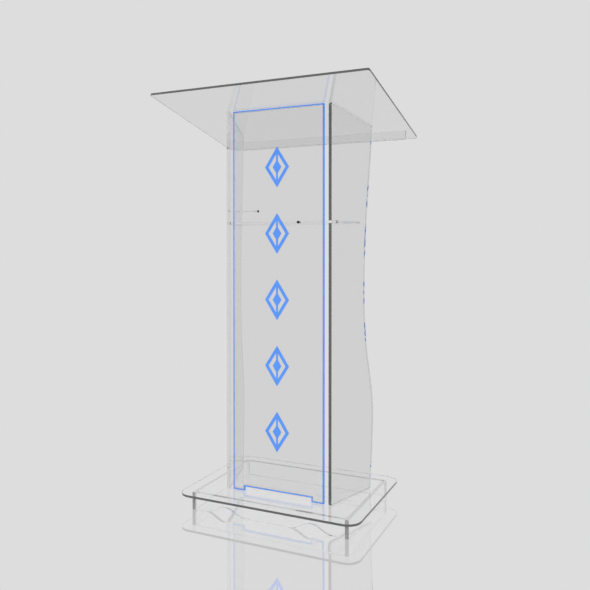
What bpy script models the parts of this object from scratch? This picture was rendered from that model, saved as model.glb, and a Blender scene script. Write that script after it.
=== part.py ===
"""Presentation lectern of clear acrylic sheet, with a blue-edged front panel.

Metres, +Z up. The audience looks along +Y at the front panel, and the speaker stands at +Y.
The origin is on the floor, under the middle of the sloping desk.
Every sheet is its own solid. Bonded faces keep a small gap, as drawn sheets do.
"""

import math

import bmesh
import bpy
from mathutils import Matrix, Vector

# Driving dimensions
SHEET = 0.006            # desk, book stop, front panel, shelf and base plate
HEAVY_SHEET = 0.010      # side panels and base boards
GAP = 0.0003             # clearance drawn at every bonded or resting face

DESK_WIDTH = 0.623
DESK_LENGTH = 0.455      # along the slope
DESK_SLOPE = math.radians(12.0)
DESK_CORNER_FRONT = 0.006
DESK_CORNER_REAR = 0.016
DESK_OVERHANG = 0.149    # from the desk's front edge to the front panel's face

STOP_LENGTH = 0.552
STOP_HEIGHT = 0.024
STOP_INSET = 0.002       # from the desk's rear edge

BASE_WIDTH = 0.526
BASE_DEPTH = 0.382
BASE_CORNER = 0.038
BASE_SETBACK = 0.0966    # from the base plate's front edge to the front panel's face
SKIRT_HEIGHT = 0.044
SKIRT_INSET = 0.0315     # from the base plate's edge to the skirt's outer face
ARCH_CENTRE = 0.127      # from the middle of the front board
ARCH_SPAN = 0.120
ARCH_RISE = 0.021

PANEL_HEIGHT = 1.060     # front face, from the base plate up to the desk
PANEL_WIDTH = 0.275      # over the blue edging
PANEL_FOOT_WIDTH = 0.036
PANEL_NOTCH_HEIGHT = 0.012
EDGING = 0.0032          # thickness of the blue edging

SIDE_SPLAY = math.radians(16.6)
SIDE_FRONT_X = 0.159     # outer front corner of a side panel
SHELF_HEIGHT = 0.745     # underside of the shelf above the base plate
SHELF_DEPTH = 0.134
SHELF_TONGUE = 0.026     # depth of the shelf's tongue in the side panel's slot

ORNAMENT_COUNT = 5
ORNAMENT_PITCH = 0.1805
ORNAMENT_TOP = 0.8986    # centre of the highest ornament above the base plate
ORNAMENT_HEIGHT = 0.110
ORNAMENT_WIDTH = 0.072
ORNAMENT_BAND = 0.0085
ORNAMENT_CORE = 0.36     # the small lozenge's size in the open one
ORNAMENT_BAR = 0.0025    # half the width of the two bars that hold it
ORNAMENT_THICKNESS = 0.002

ROUND_SIDES = 20         # of holes, screw and peg
SCREW_X = 0.063          # the screw that joins front panel and shelf
SCREW_SHANK = 0.0015
SCREW_HEAD = 0.004
SCREW_HEAD_HEIGHT = 0.0022
SCREW_LENGTH = 0.020
PEG_DEPTH = 0.126        # along the left side panel from its front edge
PEG_HEIGHT = 0.788       # above the base plate
PEG_SEAT = 0.005         # how deep it sits in the panel
PEG_REACH = 0.060        # from the panel's inner face to the end of its cap
PEG_RADIUS = 0.0022
PEG_CAP = 0.0038         # radius of the round cap
PEG_CAP_SEAT = 0.0045    # depth of the cap's bore

# Sizes worked out from them
BASE_TOP = SKIRT_HEIGHT + GAP + SHEET
DESK_HALF_Y = (DESK_LENGTH * math.cos(DESK_SLOPE) + SHEET * math.sin(DESK_SLOPE)) / 2
STOP_REACH = ((DESK_LENGTH / 2 - STOP_INSET) * math.cos(DESK_SLOPE)
              + (SHEET / 2 + GAP + STOP_HEIGHT) * math.sin(DESK_SLOPE))
DESK_MIDDLE_Y = (DESK_HALF_Y - STOP_REACH) / 2
PANEL_FRONT = DESK_MIDDLE_Y - DESK_HALF_Y + DESK_OVERHANG
PANEL_BACK = PANEL_FRONT + SHEET
PANEL_TOP = BASE_TOP + PANEL_HEIGHT
BASE_FRONT = PANEL_FRONT - BASE_SETBACK
SHELF_Z = BASE_TOP + SHELF_HEIGHT
SIDE_ALONG = Vector((math.sin(SIDE_SPLAY), math.cos(SIDE_SPLAY), 0.0))
SIDE_INWARD = Vector((-math.cos(SIDE_SPLAY), math.sin(SIDE_SPLAY), 0.0))

# Rear edge of a side panel: (height above the base plate, width of the panel there)
SIDE_WAVE = [(0.0, 0.177), (0.12, 0.187), (0.25, 0.189), (0.42, 0.157),
             (0.57, 0.1485), (0.76, 0.158), (0.94, 0.178), (1.06, 0.187)]
WAVE_STEPS = 8


def remove_scene_objects():
    for item in list(bpy.data.objects):
        bpy.data.objects.remove(item, do_unlink=True)


def make_material(name, colour, roughness, metallic=0.0, alpha=1.0):
    material = bpy.data.materials.new(name)
    material.use_nodes = True
    shader = material.node_tree.nodes["Principled BSDF"]
    shader.inputs["Base Color"].default_value = (*colour, 1.0)
    shader.inputs["Roughness"].default_value = roughness
    shader.inputs["Metallic"].default_value = metallic
    shader.inputs["Alpha"].default_value = alpha
    return material


def clear_acrylic(name):
    return make_material(name + "_clear_acrylic", (0.90, 0.91, 0.92), 0.05, alpha=0.3)


def blue_acrylic(name):
    return make_material(name + "_blue_acrylic", (0.10, 0.33, 0.86), 0.2)


def steel(name):
    return make_material(name + "_steel", (0.25, 0.25, 0.26), 0.3, metallic=1.0)


def dark_rubber(name):
    return make_material(name + "_dark_rubber", (0.03, 0.03, 0.03), 0.6)


def add_object(name, mesh_data, material=None):
    bmesh.ops.recalc_face_normals(mesh_data, faces=mesh_data.faces)
    mesh = bpy.data.meshes.new(name)
    mesh_data.to_mesh(mesh)
    mesh_data.free()
    if material:
        mesh.materials.append(material)
    item = bpy.data.objects.new(name, mesh)
    bpy.context.scene.collection.objects.link(item)
    return item


def drill(item, name, start, end, radius):
    """Cuts a round hole through an object, from start to end."""
    mesh_data = bmesh.new()
    start, end = Vector(start), Vector(end)
    bmesh.ops.create_cone(mesh_data, cap_ends=True, segments=ROUND_SIDES,
                          radius1=radius, radius2=radius, depth=(end - start).length)
    turn = (end - start).to_track_quat("Z", "Y").to_matrix().to_4x4()
    bmesh.ops.transform(mesh_data, matrix=Matrix.Translation((start + end) / 2) @ turn,
                        verts=mesh_data.verts)
    cutter = add_object(name, mesh_data)
    cutter.hide_render = True
    cutter.display_type = "WIRE"
    boolean = item.modifiers.new("cut", "BOOLEAN")
    boolean.operation = "DIFFERENCE"
    boolean.solver = "EXACT"
    boolean.object = cutter


def extrude_outline(outline, offset, holes=()):
    """A closed solid from an outline of 3-D points and its holes, extruded by a vector."""
    mesh_data = bmesh.new()
    edges = []
    for loop in [outline, *holes]:
        corners = [mesh_data.verts.new(point) for point in loop]
        for start, end in zip(corners, corners[1:] + corners[:1]):
            edges.append(mesh_data.edges.new((start, end)))
    if holes:
        bmesh.ops.triangle_fill(mesh_data, use_beauty=True, edges=edges)
    else:
        mesh_data.faces.new(mesh_data.verts)
    grown = bmesh.ops.extrude_face_region(mesh_data, geom=list(mesh_data.faces))
    moved = [part for part in grown["geom"] if isinstance(part, bmesh.types.BMVert)]
    bmesh.ops.translate(mesh_data, verts=moved, vec=offset)
    return mesh_data


def rounded_rectangle(half_x, half_y, radius_low, radius_high, steps=8):
    """Outline with one corner radius at -Y and another at +Y, centred on the origin."""
    points = []
    corners = [(1, -1, radius_low), (1, 1, radius_high), (-1, 1, radius_high), (-1, -1, radius_low)]
    for number, (side_x, side_y, radius) in enumerate(corners):
        centre = Vector((side_x * (half_x - radius), side_y * (half_y - radius), 0.0))
        for step in range(steps + 1):
            angle = math.radians(-90 + 90 * number + 90 * step / steps)
            points.append(centre + radius * Vector((math.cos(angle), math.sin(angle), 0.0)))
    return points


def desk_underside(y):
    return PANEL_TOP - (y - PANEL_FRONT) * math.tan(DESK_SLOPE)


def under_desk(y):
    """Height that a bonded upright may reach under the desk at depth y."""
    return desk_underside(y) - GAP / math.cos(DESK_SLOPE)


def desk_frame():
    """Places a flat shape, centred on its lower face, on the sloping desk's underside."""
    lower_middle = Vector((0.0, DESK_MIDDLE_Y - SHEET / 2 * math.sin(DESK_SLOPE), 0.0))
    lower_middle.z = desk_underside(lower_middle.y)
    return Matrix.Translation(lower_middle) @ Matrix.Rotation(-DESK_SLOPE, 4, "X")


def make_desk_top():
    outline = rounded_rectangle(DESK_WIDTH / 2, DESK_LENGTH / 2,
                                DESK_CORNER_FRONT, DESK_CORNER_REAR)
    mesh_data = extrude_outline(outline, (0, 0, SHEET))
    bmesh.ops.transform(mesh_data, matrix=desk_frame(), verts=mesh_data.verts)
    add_object("desk_top", mesh_data, clear_acrylic("desk_top"))


def make_book_stop():
    """Strip bonded upright along the desk's low rear edge, which keeps papers from sliding off."""
    rear = DESK_LENGTH / 2 - STOP_INSET
    half = STOP_LENGTH / 2
    foot = SHEET + GAP
    outline = [(-half, rear, foot), (half, rear, foot),
               (half, rear, foot + STOP_HEIGHT), (-half, rear, foot + STOP_HEIGHT)]
    mesh_data = extrude_outline(outline, (0, -SHEET, 0))
    bmesh.ops.transform(mesh_data, matrix=desk_frame(), verts=mesh_data.verts)
    add_object("book_stop", mesh_data, clear_acrylic("book_stop"))


def make_base_plate():
    outline = rounded_rectangle(BASE_WIDTH / 2, BASE_DEPTH / 2, BASE_CORNER, BASE_CORNER, steps=14)
    place = Vector((0, BASE_FRONT + BASE_DEPTH / 2, BASE_TOP - SHEET))
    mesh_data = extrude_outline([point + place for point in outline], (0, 0, SHEET))
    add_object("base_plate", mesh_data, clear_acrylic("base_plate"))


def board_outline(half_length, arches=(), steps=20):
    """Side view of a base board, (along, up): flat top, arches cut up from its lower edge."""
    points = [(-half_length, SKIRT_HEIGHT), (-half_length, 0.0)]
    for centre, span in arches:
        for step in range(steps + 1):
            share = step / steps
            rise = ARCH_RISE * (1 - math.cos(2 * math.pi * share)) / 2
            points.append((centre + (share - 0.5) * span, rise))
    points += [(half_length, 0.0), (half_length, SKIRT_HEIGHT)]
    return points


def make_base_skirts():
    """Front and rear boards between two side boards, all under the base plate.

    Only the front board has arches.
    """
    outer_x = BASE_WIDTH / 2 - SKIRT_INSET
    front = BASE_FRONT + SKIRT_INSET
    rear = BASE_FRONT + BASE_DEPTH - SKIRT_INSET
    inner_half = outer_x - HEAVY_SHEET - GAP
    arches = [(-ARCH_CENTRE, ARCH_SPAN), (ARCH_CENTRE, ARCH_SPAN)]
    for name, face, inward, board in (
            ("base_skirt_front", front, 1, board_outline(inner_half, arches)),
            ("base_skirt_rear", rear, -1, board_outline(inner_half))):
        outline = [(along, face, up) for along, up in board]
        mesh_data = extrude_outline(outline, (0, inward * HEAVY_SHEET, 0))
        add_object(name, mesh_data, clear_acrylic(name))
    middle = (front + rear) / 2
    board = board_outline((rear - front) / 2)
    for name, side in (("base_skirt_left", -1), ("base_skirt_right", 1)):
        outline = [(side * outer_x, middle + along, up) for along, up in board]
        mesh_data = extrude_outline(outline, (-side * HEAVY_SHEET, 0, 0))
        add_object(name, mesh_data, clear_acrylic(name))


def notched_bottom(lift):
    """Lower outline of the front panel from left to right, moved inwards by lift."""
    half = PANEL_WIDTH / 2 - lift
    foot = PANEL_WIDTH / 2 - PANEL_FOOT_WIDTH + lift
    low = BASE_TOP + GAP + lift
    notch = BASE_TOP + GAP + PANEL_NOTCH_HEIGHT + lift
    return [(-half, low), (-foot, low), (-foot, notch), (foot, notch), (foot, low), (half, low)]


def make_front_panel():
    """The sheet inside its blue edging. Two feet and a cable notch at the bottom."""
    inside = EDGING + GAP
    points = notched_bottom(inside)
    half = PANEL_WIDTH / 2 - inside
    top = under_desk(PANEL_FRONT) - inside
    fall = SHEET * math.tan(DESK_SLOPE)
    outline = [(x, PANEL_FRONT, z) for x, z in points + [(half, top), (-half, top)]]
    mesh_data = extrude_outline(outline, (0, SHEET, 0))
    for corner in mesh_data.verts:
        if corner.co.y > PANEL_FRONT + SHEET / 2 and corner.co.z > top - fall:
            corner.co.z -= fall
    panel = add_object("front_panel", mesh_data, clear_acrylic("front_panel"))
    height = SHELF_Z + SHEET / 2
    drill(panel, "panel_hole", (SCREW_X, PANEL_FRONT - SHEET, height),
          (SCREW_X, PANEL_BACK + SHEET, height), SCREW_SHANK + GAP)


def make_edging_upright(name, side):
    """Blue strip bonded along one long edge of the front panel, cut to the desk's slope."""
    outer = side * PANEL_WIDTH / 2
    low = BASE_TOP + GAP
    outline = [(outer, PANEL_FRONT, low), (outer, PANEL_BACK, low),
               (outer, PANEL_BACK, under_desk(PANEL_BACK)),
               (outer, PANEL_FRONT, under_desk(PANEL_FRONT))]
    mesh_data = extrude_outline(outline, (-side * EDGING, 0, 0))
    add_object(name, mesh_data, blue_acrylic(name))


def make_edging_top():
    half = PANEL_WIDTH / 2 - EDGING - GAP
    outline = [(-half, PANEL_FRONT, under_desk(PANEL_FRONT) - EDGING),
               (-half, PANEL_BACK, under_desk(PANEL_BACK) - EDGING),
               (-half, PANEL_BACK, under_desk(PANEL_BACK)),
               (-half, PANEL_FRONT, under_desk(PANEL_FRONT))]
    mesh_data = extrude_outline(outline, (2 * half, 0, 0))
    add_object("edging_top", mesh_data, blue_acrylic("edging_top"))


def make_edging_bottom():
    """One blue strip that follows the feet and the notch."""
    outer = notched_bottom(0.0)
    inner = notched_bottom(EDGING)
    end = PANEL_WIDTH / 2 - EDGING - GAP
    outer[0], outer[-1] = (-end, outer[0][1]), (end, outer[-1][1])
    inner[0], inner[-1] = (-end, inner[0][1]), (end, inner[-1][1])
    outline = [(x, PANEL_FRONT, z) for x, z in outer + inner[::-1]]
    mesh_data = extrude_outline(outline, (0, SHEET, 0))
    add_object("edging_bottom", mesh_data, blue_acrylic("edging_bottom"))


def smooth_through(points, steps):
    """Catmull-Rom curve through (height, width) points."""
    ends = [points[0], *points, points[-1]]
    curve = []
    for before, start, end, after in zip(ends, ends[1:], ends[2:], ends[3:]):
        for step in range(steps):
            t = step / steps
            curve.append(tuple(
                0.5 * (2 * b + (c - a) * t + (2 * a - 5 * b + 4 * c - d) * t * t
                       + (3 * b - a - 3 * c + d) * t ** 3)
                for a, b, c, d in zip(before, start, end, after)))
    return curve + [points[-1]]


def side_point(along, inward, height, side):
    """A point of a side panel: along it from its outer front corner, and inwards from its face."""
    point = Vector((SIDE_FRONT_X, PANEL_FRONT, height))
    point += SIDE_ALONG * along + SIDE_INWARD * inward
    point.x *= side
    return point


def make_side_panel(name, side):
    """Splayed upright with a wavy rear edge, an open slot for the shelf, and a sloping top."""
    low = BASE_TOP + GAP
    wave = [(width, BASE_TOP + height) for height, width in smooth_through(SIDE_WAVE, WAVE_STEPS)]
    wave[0] = (wave[0][0], low)
    wave = [(width, height) for width, height in wave if height < PANEL_TOP - 0.05]
    rear_width = SIDE_WAVE[-1][1]
    top = PANEL_TOP + SHEET
    slot = [(0.0, SHELF_Z + SHEET + GAP), (SHELF_TONGUE + GAP, SHELF_Z + SHEET + GAP),
            (SHELF_TONGUE + GAP, SHELF_Z - GAP), (0.0, SHELF_Z - GAP)]
    points = [(0.0, low), *wave, (rear_width, top), (0.0, top), *slot]
    outline = [side_point(along, 0.0, height, side) for along, height in points]
    mesh_data = extrude_outline(outline, SIDE_INWARD * Vector((side, 1, 1)) * HEAVY_SHEET)
    normal = Vector((0, math.sin(DESK_SLOPE), math.cos(DESK_SLOPE)))
    on_plane = Vector((0, PANEL_FRONT, under_desk(PANEL_FRONT)))
    everything = list(mesh_data.verts) + list(mesh_data.edges) + list(mesh_data.faces)
    bmesh.ops.bisect_plane(mesh_data, geom=everything, plane_co=on_plane,
                           plane_no=normal, clear_outer=True)
    open_edges = [edge for edge in mesh_data.edges if edge.is_boundary]
    bmesh.ops.holes_fill(mesh_data, edges=open_edges)
    return add_object(name, mesh_data, clear_acrylic(name))


def make_side_panels():
    make_side_panel("side_panel_right", 1)
    left = make_side_panel("side_panel_left", -1)
    height = BASE_TOP + PEG_HEIGHT
    drill(left, "peg_hole", side_point(PEG_DEPTH, HEAVY_SHEET - PEG_SEAT - GAP, height, -1),
          side_point(PEG_DEPTH, 2 * HEAVY_SHEET, height, -1), PEG_RADIUS + GAP)


def make_shelf():
    """Trapezoid between the side panels. A tongue at each front corner fills the panel's slot."""
    corners = []
    for along, inward in ((GAP, 0.0), (SHELF_TONGUE, 0.0), (SHELF_TONGUE, HEAVY_SHEET + GAP),
                          (SHELF_DEPTH, HEAVY_SHEET + GAP)):
        corners.append(side_point(along, inward, SHELF_Z, 1))
    front = PANEL_BACK + GAP
    nose = side_point(GAP, HEAVY_SHEET + GAP, SHELF_Z, 1)
    step = Vector((nose.x, front, SHELF_Z))
    right = [step, nose, *corners]
    left = [Vector((-point.x, point.y, point.z)) for point in reversed(right)]
    mesh_data = extrude_outline(right + left, (0, 0, SHEET))
    shelf = add_object("shelf", mesh_data, clear_acrylic("shelf"))
    height = SHELF_Z + SHEET / 2
    drill(shelf, "shelf_hole", (SCREW_X, front - SHEET, height),
          (SCREW_X, PANEL_FRONT + SCREW_LENGTH + GAP, height), SCREW_SHANK + GAP)


def make_ornament(name, height):
    """Open lozenge with a small solid lozenge held on two bars, bonded to the front panel."""
    half_w, half_h = ORNAMENT_WIDTH / 2, ORNAMENT_HEIGHT / 2
    to_side = half_w * half_h / math.hypot(half_w, half_h)
    inner = 1 - ORNAMENT_BAND / to_side
    core_w, core_h = ORNAMENT_CORE * half_w, ORNAMENT_CORE * half_h
    bar = ORNAMENT_BAR
    back = PANEL_FRONT - GAP
    outline = [(0, half_h), (-half_w, 0), (0, -half_h), (half_w, 0)]
    holes = []
    for side in (-1, 1):
        high = inner * half_h * (1 - bar / (inner * half_w))
        core_high = core_h * (1 - bar / core_w)
        holes.append([(side * bar, high), (side * inner * half_w, 0), (side * bar, -high),
                      (side * bar, -core_high), (side * core_w, 0), (side * bar, core_high)])
    place = [[(x, back, height + z) for x, z in loop] for loop in [outline, *holes]]
    mesh_data = extrude_outline(place[0], (0, -ORNAMENT_THICKNESS, 0), place[1:])
    add_object(name, mesh_data, blue_acrylic(name))


def make_turned(name, start, direction, profile, material):
    """A turned piece: profile is (distance along the axis, radius), from end to end."""
    mesh_data = bmesh.new()
    rings = []
    turns = [2 * math.pi * step / ROUND_SIDES for step in range(ROUND_SIDES)]
    for distance, radius in profile:
        ring = [mesh_data.verts.new((radius * math.cos(turn), radius * math.sin(turn), distance))
                for turn in turns]
        rings.append(ring)
    for ring, following in zip(rings, rings[1:]):
        for step in range(ROUND_SIDES):
            after = (step + 1) % ROUND_SIDES
            mesh_data.faces.new((ring[step], ring[after], following[after], following[step]))
    mesh_data.faces.new(rings[0])
    mesh_data.faces.new(rings[-1])
    turn = Vector(direction).to_track_quat("Z", "Y").to_matrix().to_4x4()
    bmesh.ops.transform(mesh_data, matrix=Matrix.Translation(start) @ turn, verts=mesh_data.verts)
    return add_object(name, mesh_data, material)


def make_shelf_screw():
    """Button-head screw through the front panel into the shelf's front edge."""
    head = SCREW_HEAD_HEIGHT
    profile = [(-GAP - head, 0.55 * SCREW_HEAD), (-GAP - 0.6 * head, 0.9 * SCREW_HEAD),
               (-GAP, SCREW_HEAD), (-GAP, SCREW_SHANK), (SCREW_LENGTH, SCREW_SHANK)]
    start = (SCREW_X, PANEL_FRONT, SHELF_Z + SHEET / 2)
    make_turned("shelf_screw", start, (0, 1, 0), profile, steel("shelf_screw"))


def make_cable_peg():
    """Clear peg in a blind hole of the left side panel, with a round dark cap on its end."""
    start = side_point(PEG_DEPTH, HEAVY_SHEET, BASE_TOP + PEG_HEIGHT, -1)
    inward = Vector((-SIDE_INWARD.x, SIDE_INWARD.y, 0.0))
    rod_end = PEG_REACH - 2 * PEG_CAP + PEG_CAP_SEAT
    rod = [(-PEG_SEAT, PEG_RADIUS), (rod_end - GAP, PEG_RADIUS)]
    make_turned("cable_peg", start, inward, rod, clear_acrylic("cable_peg"))

    bore = PEG_RADIUS + GAP
    at_mouth = math.asin(bore / PEG_CAP) + math.radians(12)
    mouth = PEG_REACH - PEG_CAP - PEG_CAP * math.cos(at_mouth)
    cap = [(rod_end, bore), (mouth, bore)]
    for step in range(9):
        angle = at_mouth + (0.95 * math.pi - at_mouth) * step / 8
        cap.append((PEG_REACH - PEG_CAP - PEG_CAP * math.cos(angle), PEG_CAP * math.sin(angle)))
    make_turned("cable_peg_cap", start, inward, cap, dark_rubber("cable_peg_cap"))


def build_lectern():
    remove_scene_objects()
    make_desk_top()
    make_book_stop()
    make_front_panel()
    make_edging_upright("edging_left", -1)
    make_edging_upright("edging_right", 1)
    make_edging_top()
    make_edging_bottom()
    for number in range(ORNAMENT_COUNT):
        height = BASE_TOP + ORNAMENT_TOP - number * ORNAMENT_PITCH
        make_ornament(f"front_ornament_{number + 1}", height)
    make_side_panels()
    make_shelf()
    make_shelf_screw()
    make_cable_peg()
    make_base_plate()
    make_base_skirts()


build_lectern()
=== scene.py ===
import math

import bpy
import numpy as np
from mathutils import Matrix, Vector


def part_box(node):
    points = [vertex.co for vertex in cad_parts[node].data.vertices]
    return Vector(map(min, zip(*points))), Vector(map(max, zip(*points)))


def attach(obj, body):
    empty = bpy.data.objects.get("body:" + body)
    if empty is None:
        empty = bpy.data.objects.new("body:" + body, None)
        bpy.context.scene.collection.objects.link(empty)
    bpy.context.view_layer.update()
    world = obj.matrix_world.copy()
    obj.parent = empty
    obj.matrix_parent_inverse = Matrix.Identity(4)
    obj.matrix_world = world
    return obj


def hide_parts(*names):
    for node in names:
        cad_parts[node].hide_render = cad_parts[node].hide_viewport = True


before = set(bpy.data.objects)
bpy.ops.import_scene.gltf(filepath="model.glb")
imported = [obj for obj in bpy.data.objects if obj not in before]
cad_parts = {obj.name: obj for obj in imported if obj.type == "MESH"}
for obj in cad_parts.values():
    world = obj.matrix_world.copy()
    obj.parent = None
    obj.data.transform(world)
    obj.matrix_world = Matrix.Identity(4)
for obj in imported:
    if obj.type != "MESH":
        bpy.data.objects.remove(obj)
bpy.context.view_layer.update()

# ---------------------------------------------------------------- studio and camera
# A pale seamless studio. The floor is a polished sheet of the same grey as the air behind it,
# so it shows only by the faint mirror image of what stands on it.
PALE = 0.723
scene = bpy.context.scene
scene.view_settings.view_transform = "Standard"
scene.view_settings.look = "None"
scene.cycles.max_bounces = 32
scene.cycles.transmission_bounces = 24
scene.cycles.glossy_bounces = 5
scene.cycles.transparent_max_bounces = 16

world = bpy.data.worlds.new("pale_studio")
world.use_nodes = True
world.node_tree.nodes["Background"].inputs["Color"].default_value = (PALE, PALE, PALE, 1)
scene.world = world

FLOOR_MIRROR = 0.34
bpy.ops.object.select_all(action="DESELECT")
bpy.ops.mesh.primitive_circle_add(vertices=96, radius=30, fill_type="NGON", location=(0, 0, 0))
floor = bpy.context.object
floor.name = "studio_floor"
floor_paint = bpy.data.materials.new("polished_pale_floor")
floor_paint.use_nodes = True
nodes, links = floor_paint.node_tree.nodes, floor_paint.node_tree.links
nodes.clear()
glow = nodes.new("ShaderNodeEmission")
glow.inputs["Color"].default_value = (PALE, PALE, PALE, 1)
mirror = nodes.new("ShaderNodeBsdfGlossy")
mirror.inputs["Color"].default_value = (1, 1, 1, 1)
mirror.inputs["Roughness"].default_value = 0.0
blend = nodes.new("ShaderNodeMixShader")
blend.inputs["Fac"].default_value = FLOOR_MIRROR
out = nodes.new("ShaderNodeOutputMaterial")
links.new(glow.outputs["Emission"], blend.inputs[1])
links.new(mirror.outputs["BSDF"], blend.inputs[2])
links.new(blend.outputs["Shader"], out.inputs["Surface"])
floor.data.materials.append(floor_paint)

CAMERA_ASIDE, CAMERA_AHEAD, CAMERA_ABOVE = 0.8089, 1.6341, 0.6805
CAMERA_TILT, CAMERA_TURN = math.radians(89.334), math.radians(24.947)
camera_data = bpy.data.cameras.new("camera")
camera_data.sensor_width = 36.0
camera_data.lens = 40.88
camera_data.shift_x = 0.0027
camera_data.shift_y = -0.0676
camera = bpy.data.objects.new("camera", camera_data)
scene.collection.objects.link(camera)
panel_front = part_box("front_panel")[0].y
plate_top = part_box("base_plate")[1].z
camera.location = (CAMERA_ASIDE, panel_front - CAMERA_AHEAD, plate_top + CAMERA_ABOVE)
camera.rotation_euler = (CAMERA_TILT, 0.0, CAMERA_TURN)
scene.camera = camera

# ---------------------------------------------------------------- sloping desk
# One clear cast acrylic sheet, laser cut with rounded corners and left slightly matt at its
# edges. It is solvent-bonded on top of the three uprights.
ARRIS = 0.0007
MERGE_WITHIN = 0.00001
FLAT_WITHIN = math.radians(0.2)
SMOOTH_WITHIN = math.radians(13)
CORNER_OVER = math.radians(40)
WIDE_FACE, EDGE_FACE = 0.9999, 0.9


def select_only(piece):
    bpy.ops.object.select_all(action="DESELECT")
    piece.select_set(True)
    bpy.context.view_layer.objects.active = piece


def clear_acrylic(name, tint, scuff, matt=0.0):
    """Cast acrylic. The tint is what light keeps on its way in and out again, and matt is
    the share of the surface that scatters light, as on a cut edge."""
    material = bpy.data.materials.new(name)
    material.use_nodes = True
    nodes, links = material.node_tree.nodes, material.node_tree.links
    shader = nodes["Principled BSDF"]
    shader.inputs["Base Color"].default_value = (*tint, 1)
    shader.inputs["IOR"].default_value = 1.49
    shader.inputs["Transmission Weight"].default_value = 1.0 - matt
    place = nodes.new("ShaderNodeTexCoord")
    haze = nodes.new("ShaderNodeTexNoise")
    haze.inputs["Scale"].default_value = 14.0
    haze.inputs["Detail"].default_value = 5.0
    spread = nodes.new("ShaderNodeMapRange")
    spread.inputs["From Min"].default_value = 0.35
    spread.inputs["From Max"].default_value = 0.75
    spread.inputs["To Min"].default_value = 0.0
    spread.inputs["To Max"].default_value = scuff
    links.new(place.outputs["Object"], haze.inputs["Vector"])
    links.new(haze.outputs["Fac"], spread.inputs["Value"])
    links.new(spread.outputs["Result"], shader.inputs["Roughness"])
    return material


face_acrylic = clear_acrylic("clear_acrylic_face", (0.885, 0.885, 0.885), 0.015)
edge_acrylic = clear_acrylic("clear_acrylic_edge", (0.88, 0.88, 0.89), 0.05, matt=0.18)


def polished_sheet(node, materials, arris=ARRIS, segments=3):
    """A copy of a cut sheet with its arrises rounded. The materials are those of the wide
    faces, of the edges, and of the edges that face the front, where these differ."""
    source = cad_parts[node]
    piece = source.copy()
    piece.data = source.data.copy()
    piece.name = node + "_polished"
    for key in list(piece.keys()):
        del piece[key]
    piece.parent = None
    scene.collection.objects.link(piece)
    select_only(piece)
    bpy.ops.mesh.customdata_custom_splitnormals_clear()
    bpy.ops.object.mode_set(mode="EDIT")
    bpy.ops.mesh.select_all(action="SELECT")
    bpy.ops.mesh.remove_doubles(threshold=MERGE_WITHIN)
    bpy.ops.mesh.dissolve_limited(angle_limit=FLAT_WITHIN)
    bpy.ops.object.mode_set(mode="OBJECT")
    bevel = piece.modifiers.new("arris", "BEVEL")
    bevel.width = arris
    bevel.segments = segments
    bevel.limit_method = "ANGLE"
    bevel.angle_limit = CORNER_OVER
    bpy.ops.object.modifier_apply(modifier=bevel.name)
    mesh = piece.data
    mesh.materials.clear()
    for material in materials:
        mesh.materials.append(material)
    areas = np.array([face.area for face in mesh.polygons])
    normals = np.array([face.normal for face in mesh.polygons])
    broad = normals[areas.argmax()]
    bpy.ops.object.shade_smooth_by_angle(angle=SMOOTH_WITHIN)
    for face, along in zip(mesh.polygons, np.abs(normals @ broad)):
        face.material_index = 0
        if along < EDGE_FACE and len(materials) > 1:
            faces_front = len(materials) > 2 and face.normal.y < -EDGE_FACE
            face.material_index = 2 if faces_front else 1
        if along > WIDE_FACE:
            face.use_smooth = False
    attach(piece, "root")
    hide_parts(node)


clear_faces = (face_acrylic, edge_acrylic)
polished_sheet("desk_top", clear_faces)

# ---------------------------------------------------------------- book stop
# A narrow strip of the same sheet, bonded upright along the desk's low edge. Its edges are
# flame polished, so they are as clear as its faces.
FINE_ARRIS = 0.0002
polished_edge = clear_acrylic("clear_acrylic_flame_polished", (0.97, 0.97, 0.975), 0.02)
polished_sheet("book_stop", (face_acrylic, polished_edge), arris=FINE_ARRIS)

# ---------------------------------------------------------------- front panel
# An upright clear sheet with two short feet and a notch for cables between them. It is bonded
# between the base plate and the desk, and its laser-cut edges are closed by the blue edging.
polished_sheet("front_panel", clear_faces)

# ---------------------------------------------------------------- blue edging
# Thin strips of bright blue acrylic, bonded round the front panel's edges. The dye is cloudy.
# A weak blue emission makes them glow by themselves: painted glow, brighter than the studio
# lights them.
SMALL_ARRIS = 0.0003
edging_blue_painted_glow = bpy.data.materials.new("blue_acrylic_edging_painted_glow")
edging_blue_painted_glow.use_nodes = True
nodes, links = edging_blue_painted_glow.node_tree.nodes, edging_blue_painted_glow.node_tree.links
blue_shader = nodes["Principled BSDF"]
blue_shader.inputs["Roughness"].default_value = 0.12
# Painted glow: a weak blue emission, though the strips are no lamp.
blue_shader.inputs["Emission Color"].default_value = (0.06, 0.22, 0.90, 1)
blue_shader.inputs["Emission Strength"].default_value = 0.35
place = nodes.new("ShaderNodeTexCoord")
cloud = nodes.new("ShaderNodeTexNoise")
cloud.inputs["Scale"].default_value = 30.0
cloud.inputs["Detail"].default_value = 4.0
dye = nodes.new("ShaderNodeValToRGB")
dye.color_ramp.elements[0].position = 0.3
dye.color_ramp.elements[0].color = (0.085, 0.30, 0.84, 1)
dye.color_ramp.elements[1].position = 0.7
dye.color_ramp.elements[1].color = (0.11, 0.36, 0.95, 1)
links.new(place.outputs["Object"], cloud.inputs["Vector"])
links.new(cloud.outputs["Fac"], dye.inputs["Fac"])
links.new(dye.outputs["Color"], blue_shader.inputs["Base Color"])
for border in ("left", "right", "top", "bottom"):
    polished_sheet(f"edging_{border}", (edging_blue_painted_glow,),
                   arris=SMALL_ARRIS, segments=2)

# ---------------------------------------------------------------- front ornaments
# Five open lozenges in one column, laser cut from thin sheet of the edging's blue acrylic.
# They are bonded flat on the face of the front panel, and carry the edging's painted glow.
for number in range(1, 6):
    polished_sheet(f"front_ornament_{number}", (edging_blue_painted_glow,), arris=SMALL_ARRIS)

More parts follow.
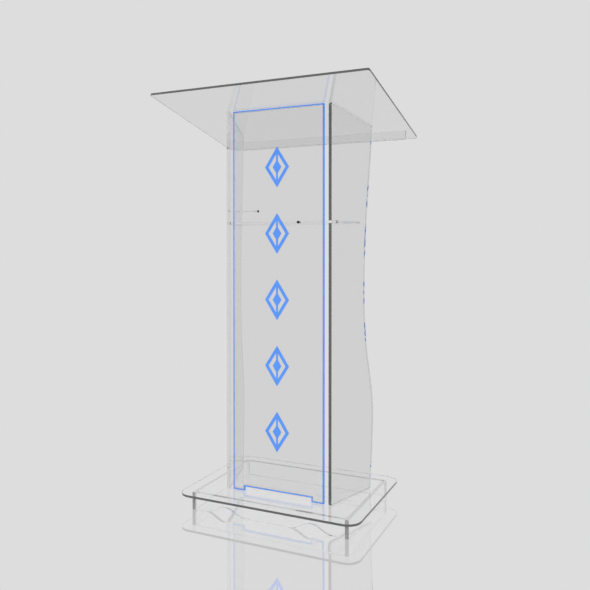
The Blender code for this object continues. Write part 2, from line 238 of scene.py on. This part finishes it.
# ---------------------------------------------------------------- side panels
# Two uprights of thicker sheet that splay outwards to the rear. Their straight front edges
# are sawn, and the wavy rear edges flame polished. A slot near the top takes the shelf.
PLAIN_ARRIS = 0.0004
heavy_face = clear_acrylic("clear_acrylic_heavy_sheet", (0.862, 0.862, 0.864), 0.015)
for side in ("left", "right"):
    polished_sheet(f"side_panel_{side}", (heavy_face, polished_edge, edge_acrylic),
                   arris=PLAIN_ARRIS)

# ---------------------------------------------------------------- shelf
# A clear trapezoid whose front tongues lie in the side panels' slots. It is flame polished
# all round, and hardly shows.
shelf_face = clear_acrylic("clear_acrylic_shelf", (0.985, 0.985, 0.985), 0.01)
polished_sheet("shelf", (shelf_face, polished_edge), arris=SMALL_ARRIS)

# ---------------------------------------------------------------- shelf screw
# A dark plated button-head screw with a hexagon socket. It passes through the front panel
# into the shelf's edge and holds the shelf.
SOCKET_ACROSS = 0.0025
SOCKET_DEPTH = 0.0012
ROUND_SIDES = 48
HEAD_GAP = 0.0003
HEAD_DOME = 0.7
SHANK_SHARE = 0.5
SHANK_SETBACK = 0.0004
TIP_CHAMFER = 0.0003
ROUND_WITHIN = math.radians(35)


def pick_faces(piece, towards, closeness=0.99):
    """Selects the faces that look one way, and leaves the piece in edit mode."""
    select_only(piece)
    bpy.ops.object.mode_set(mode="EDIT")
    bpy.ops.mesh.select_mode(type="FACE")
    bpy.ops.mesh.select_all(action="DESELECT")
    bpy.ops.object.mode_set(mode="OBJECT")
    for face in piece.data.polygons:
        face.select = face.normal.dot(Vector(towards)) > closeness
    bpy.ops.object.mode_set(mode="EDIT")


def settle(piece, node, material):
    """Moves the piece's place into its mesh and gives it its body and finish."""
    select_only(piece)
    bpy.ops.object.transform_apply(location=True, rotation=True, scale=True)
    bpy.ops.object.shade_smooth_by_angle(angle=ROUND_WITHIN)
    piece.data.materials.clear()
    piece.data.materials.append(material)
    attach(piece, "root")
    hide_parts(node)


def cut_away(piece, cutter):
    select_only(piece)
    boolean = piece.modifiers.new("cut", "BOOLEAN")
    boolean.operation = "DIFFERENCE"
    boolean.solver = "EXACT"
    boolean.object = cutter
    bpy.ops.object.modifier_apply(modifier=boolean.name)
    bpy.data.objects.remove(cutter, do_unlink=True)


def span(node, axis):
    """The lowest and highest reach of a node along an axis, from its own corners."""
    reach = [corner.co.dot(axis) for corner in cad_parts[node].data.vertices]
    return min(reach), max(reach)


def dark_grained(name, scale, detail, dark, light, roughness, metallic):
    """A dark finish whose fine grain changes both its colour and its roughness."""
    material = bpy.data.materials.new(name)
    material.use_nodes = True
    nodes, links = material.node_tree.nodes, material.node_tree.links
    shader = nodes["Principled BSDF"]
    shader.inputs["Metallic"].default_value = metallic
    place = nodes.new("ShaderNodeTexCoord")
    grain = nodes.new("ShaderNodeTexNoise")
    grain.inputs["Scale"].default_value = scale
    grain.inputs["Detail"].default_value = detail
    tone = nodes.new("ShaderNodeValToRGB")
    tone.color_ramp.elements[0].color = (*dark, 1)
    tone.color_ramp.elements[1].color = (*light, 1)
    wear = nodes.new("ShaderNodeMapRange")
    wear.inputs["To Min"].default_value, wear.inputs["To Max"].default_value = roughness
    links.new(place.outputs["Object"], grain.inputs["Vector"])
    links.new(grain.outputs["Fac"], tone.inputs["Fac"])
    links.new(tone.outputs["Color"], shader.inputs["Base Color"])
    links.new(grain.outputs["Fac"], wear.inputs["Value"])
    links.new(wear.outputs["Result"], shader.inputs["Roughness"])
    return material


steel = dark_grained("dark_plated_steel", 900.0, 3.0, (0.035, 0.035, 0.038),
                     (0.075, 0.075, 0.08), (0.24, 0.46), metallic=1.0)

screw_low, screw_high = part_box("shelf_screw")
screw_middle = (screw_low + screw_high) / 2
head_radius = (screw_high.x - screw_low.x) / 2
head_back = panel_front - HEAD_GAP
head_height = head_back - screw_low.y
bpy.ops.object.select_all(action="DESELECT")
bpy.ops.mesh.primitive_cylinder_add(
    vertices=ROUND_SIDES, radius=head_radius, depth=head_height,
    location=(screw_middle.x, head_back - head_height / 2, screw_middle.z),
    rotation=(math.radians(90), 0, 0))
screw = bpy.context.object
screw.name = "shelf_screw_button_head"
bpy.ops.object.transform_apply(location=True, rotation=True, scale=True)
pick_faces(screw, (0, -1, 0))
bpy.ops.mesh.bevel(offset=head_height * HEAD_DOME, segments=6, affect="EDGES")
bpy.ops.object.mode_set(mode="OBJECT")
pick_faces(screw, (0, 1, 0))
bpy.ops.mesh.inset(thickness=head_radius * (1 - SHANK_SHARE))
bpy.ops.mesh.extrude_region_move(
    TRANSFORM_OT_translate={"value": (0, screw_high.y - head_back - SHANK_SETBACK, 0)})
bpy.ops.mesh.bevel(offset=TIP_CHAMFER, segments=2, affect="EDGES")
bpy.ops.object.mode_set(mode="OBJECT")
bpy.ops.object.select_all(action="DESELECT")
bpy.ops.mesh.primitive_cylinder_add(
    vertices=6, radius=SOCKET_ACROSS / math.sqrt(3), depth=2 * SOCKET_DEPTH,
    location=(screw_middle.x, screw_low.y, screw_middle.z), rotation=(math.radians(90), 0, 0))
cut_away(screw, bpy.context.object)
settle(screw, "shelf_screw", steel)

# ---------------------------------------------------------------- cable peg
# A short clear rod, glued in a blind hole of the left side panel. Its free end carries a
# round cap of dark rubber, which keeps a coiled cable from slipping off.
PEG_ROUNDING = 0.0004
CAP_CLEARANCE = 0.0003
CAP_SHARE = 0.995
panel_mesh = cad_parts["side_panel_left"].data
widest = max(panel_mesh.polygons, key=lambda face: face.area).normal
inward = Vector((abs(widest.x), abs(widest.y), 0.0)).normalized()
across = Vector((-inward.y, inward.x, 0.0))
peg_start, peg_end = span("cable_peg", inward)
cap_start, cap_end = span("cable_peg_cap", inward)
peg_low, peg_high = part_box("cable_peg")
peg_height = (peg_low.z + peg_high.z) / 2
peg_aside = sum(span("cable_peg", across)) / 2
peg_radius = (peg_high.z - peg_low.z) / 2
cap_low, cap_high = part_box("cable_peg_cap")
cap_radius = (cap_high.z - cap_low.z) / 2
axis_turn = inward.to_track_quat("Z", "Y").to_euler()


def on_peg(reach):
    point = inward * reach + across * peg_aside
    return (point.x, point.y, peg_height)


bpy.ops.object.select_all(action="DESELECT")
bpy.ops.mesh.primitive_cylinder_add(
    vertices=ROUND_SIDES, radius=peg_radius, depth=peg_end - peg_start,
    location=on_peg((peg_start + peg_end) / 2), rotation=axis_turn)
peg = bpy.context.object
peg.name = "cable_peg_rod"
bpy.ops.object.transform_apply(location=True, rotation=True, scale=True)
pick_faces(peg, inward)
bpy.ops.mesh.bevel(offset=PEG_ROUNDING, segments=3, affect="EDGES")
bpy.ops.object.mode_set(mode="OBJECT")
pick_faces(peg, -inward)
bpy.ops.mesh.bevel(offset=TIP_CHAMFER, segments=2, affect="EDGES")
bpy.ops.object.mode_set(mode="OBJECT")
settle(peg, "cable_peg", face_acrylic)

rubber = dark_grained("dark_rubber", 1400.0, 2.0, (0.018, 0.018, 0.018),
                      (0.045, 0.045, 0.045), (0.5, 0.75), metallic=0.0)
bpy.ops.object.select_all(action="DESELECT")
bpy.ops.mesh.primitive_uv_sphere_add(
    segments=40, ring_count=24, radius=cap_radius * CAP_SHARE,
    location=on_peg(cap_end - cap_radius), rotation=axis_turn)
cap = bpy.context.object
cap.name = "cable_peg_round_cap"
bpy.ops.object.transform_apply(location=True, rotation=True, scale=True)
select_only(cap)
bpy.ops.object.mode_set(mode="EDIT")
bpy.ops.mesh.select_all(action="SELECT")
bpy.ops.mesh.bisect(plane_co=on_peg(cap_start), plane_no=inward, use_fill=True,
                    clear_inner=True, clear_outer=False)
bpy.ops.object.mode_set(mode="OBJECT")
bpy.ops.object.select_all(action="DESELECT")
bpy.ops.mesh.primitive_cylinder_add(
    vertices=ROUND_SIDES, radius=peg_radius + CAP_CLEARANCE,
    depth=2 * (peg_end - cap_start + CAP_CLEARANCE), location=on_peg(cap_start),
    rotation=axis_turn)
cut_away(cap, bpy.context.object)
settle(cap, "cable_peg_cap", rubber)

# ---------------------------------------------------------------- base plate
# A clear sheet with generous round corners, laid on the four base boards. Its face tint is
# set nearly clear, lighter than the other clear sheets: painted light that brightens the base.
base_face_painted_light = clear_acrylic("clear_acrylic_base", (0.995, 0.995, 1.0), 0.012)
base_edge = clear_acrylic("clear_acrylic_base_edge", (0.90, 0.90, 0.91), 0.05, matt=0.18)
polished_sheet("base_plate", (base_face_painted_light, base_edge), arris=PLAIN_ARRIS)

# ---------------------------------------------------------------- base boards
# Four thicker boards on edge, bonded under the base plate. The front one has two arches cut
# in its lower edge. Most edges are flame polished and light, but the rear board's are matt
# from bonding. The side boards' front ends are sawn, and their near-black tint is painted
# shade for how dark they look end-on.
board_edge = clear_acrylic("clear_acrylic_board_edge", (0.97, 0.97, 0.98), 0.04, matt=0.30)
# Painted shade: a near-black tint on the side boards' front-facing ends, on top of a sawn matt
# finish.
sawn_end_painted_shade = clear_acrylic("clear_acrylic_sawn_end", (0.20, 0.20, 0.205), 0.10, matt=0.12)
bonded_edge = clear_acrylic("clear_acrylic_bonded_edge", (0.76, 0.76, 0.765), 0.20, matt=0.60)
# The board faces share the base plate's lightened tint, painted light.
board_finishes = {"front": (base_face_painted_light, board_edge), "rear": (base_face_painted_light, bonded_edge),
                  "left": (base_face_painted_light, board_edge, sawn_end_painted_shade),
                  "right": (base_face_painted_light, board_edge, sawn_end_painted_shade)}
for side, finishes in board_finishes.items():
    polished_sheet(f"base_skirt_{side}", finishes, arris=FINE_ARRIS)
